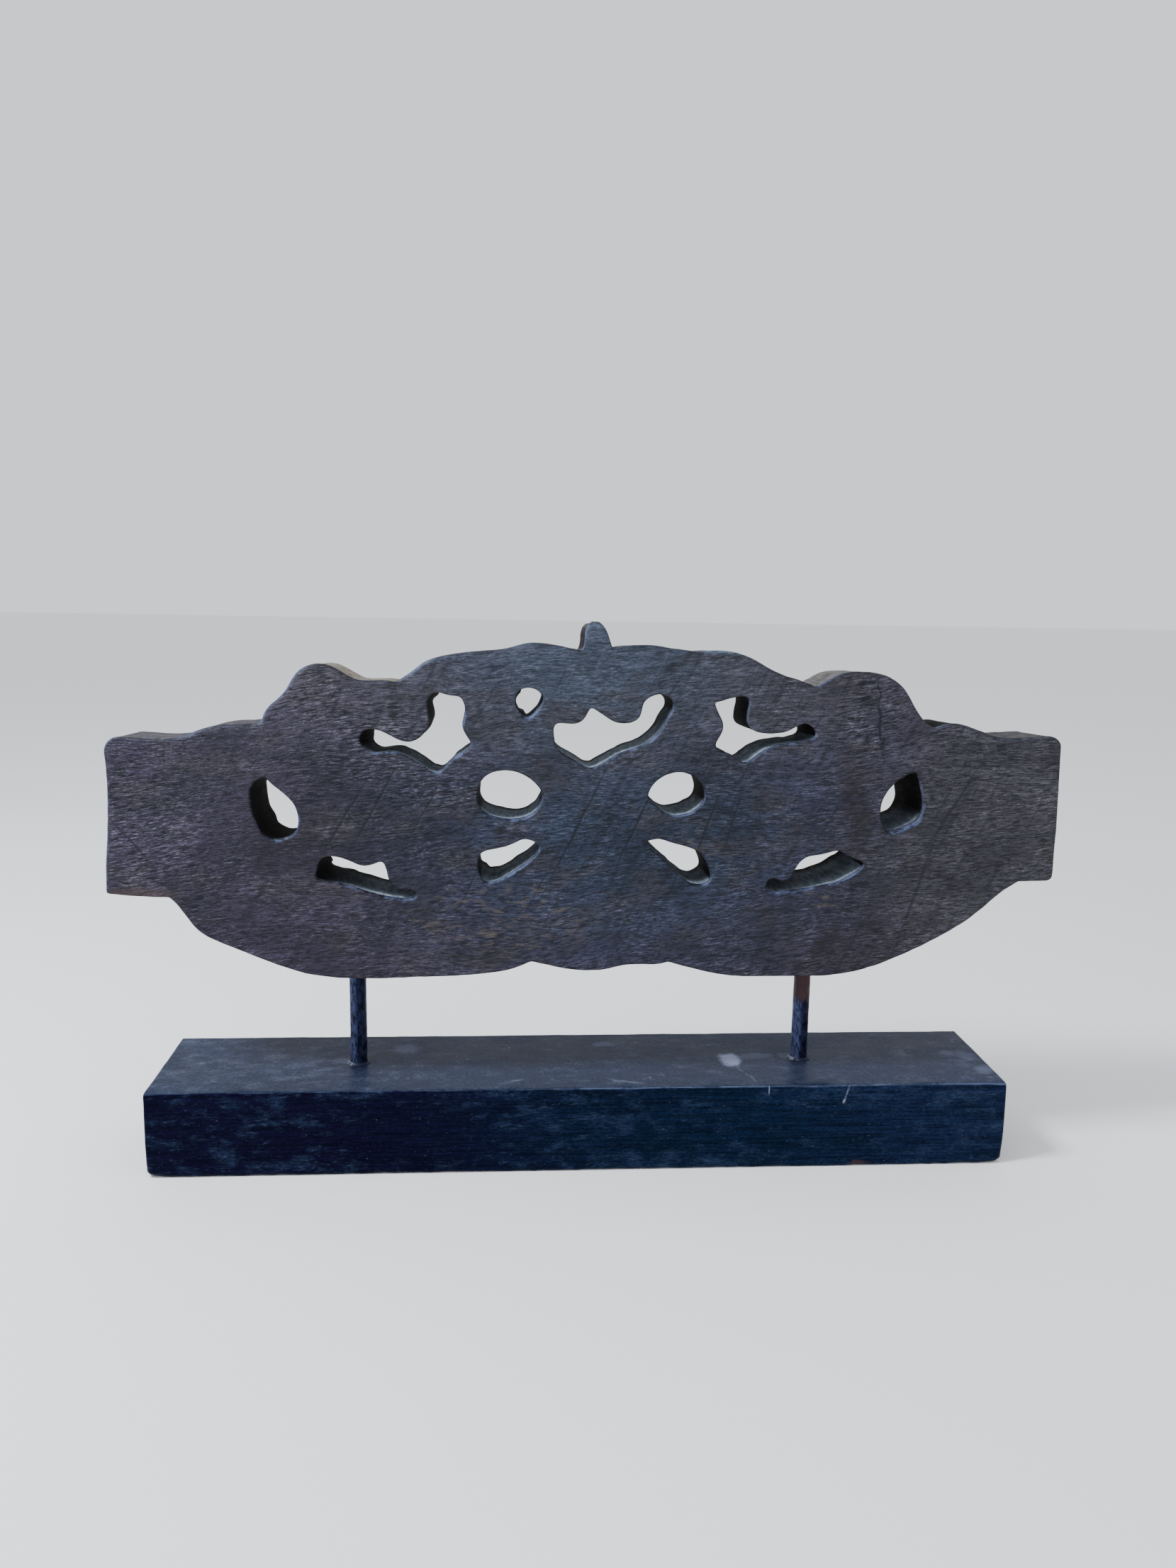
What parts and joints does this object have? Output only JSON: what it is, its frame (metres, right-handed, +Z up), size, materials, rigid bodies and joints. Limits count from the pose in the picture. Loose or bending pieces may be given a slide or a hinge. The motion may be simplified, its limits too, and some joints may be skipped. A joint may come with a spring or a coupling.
{
  "type": "headrest",
  "caption": "Pierced hardwood headrest panel with a scalloped outline, standing upright on round iron rods set in a rectangular black-painted wooden block.",
  "frame": {"origin": "centre of the block's underside", "axes": "+X along the block, to the right seen from the panel's plain face; +Y away from the plain face; +Z up"},
  "size_m": [0.5486, 0.084, 0.317],
  "materials": {
    "black_painted_wood": "satin black paint over fine grain, pale wear on the edges",
    "blackened_hardwood": "dark stained, hand-dressed, fine pale scratches along the grain",
    "black_painted_iron": "brushed-on black paint, brown where it is worn off",
    "hardened_glue": "dull pale residue, part painted over"
  },
  "bodies": {
    "stand": {"base_block": "black_painted_wood", "left_rod": "black_painted_iron", "right_rod": "black_painted_iron", "left_glue_collar": "hardened_glue", "right_glue_collar": "hardened_glue"},
    "panel": {"carved_panel": "blackened_hardwood"}
  },
  "joints": [
    {"name": "panel_lift", "type": "slide", "parent": "stand", "child": "panel", "axis": [0, 0, 1], "range_m": [0, 0.045]}
  ]
}
